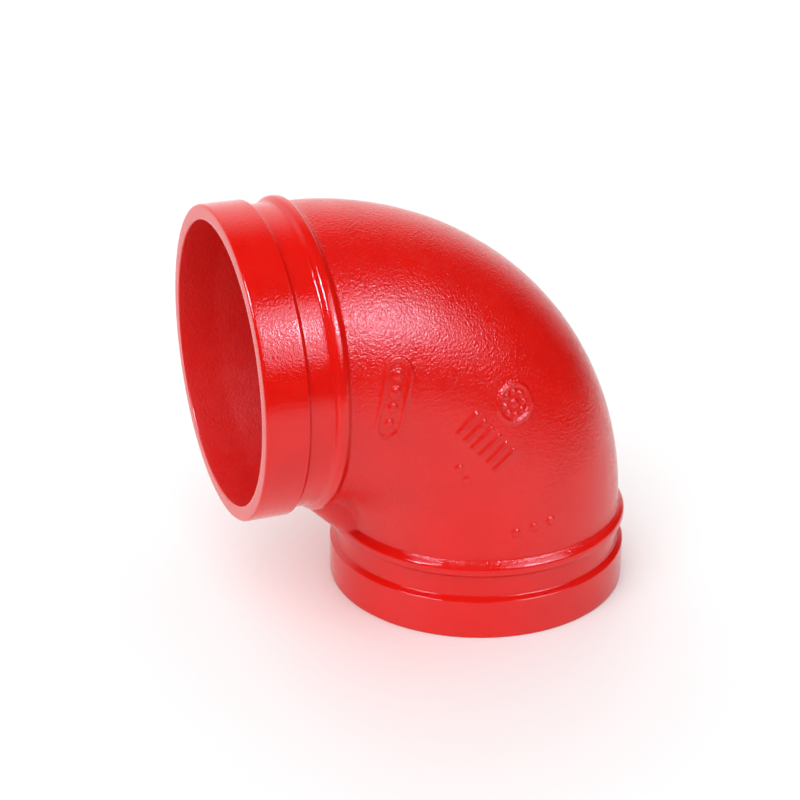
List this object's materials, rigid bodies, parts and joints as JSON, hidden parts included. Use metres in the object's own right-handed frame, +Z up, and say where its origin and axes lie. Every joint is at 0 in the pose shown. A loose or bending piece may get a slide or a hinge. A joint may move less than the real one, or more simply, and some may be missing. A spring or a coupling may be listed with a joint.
{
  "type": "grooved pipe elbow",
  "caption": "Short-radius 90 degree pipe elbow with a grooved end and a bead at each side, cast in one piece with a web across the throat and painted red.",
  "frame": {"origin": "centre of the lower end's face, on that end's axis", "axes": "+Z up the lower end's axis into the elbow; the other end's face looks along -X, with its axis 101.6 mm above the lower end's face; the bend lies in the XZ plane"},
  "size_m": [0.1589, 0.1144, 0.1588],
  "materials": {
    "red_paint": "glossy red enamel over a cast surface"
  },
  "bodies": {
    "root": {"elbow_casting": "red_paint"}
  },
  "joints": []
}
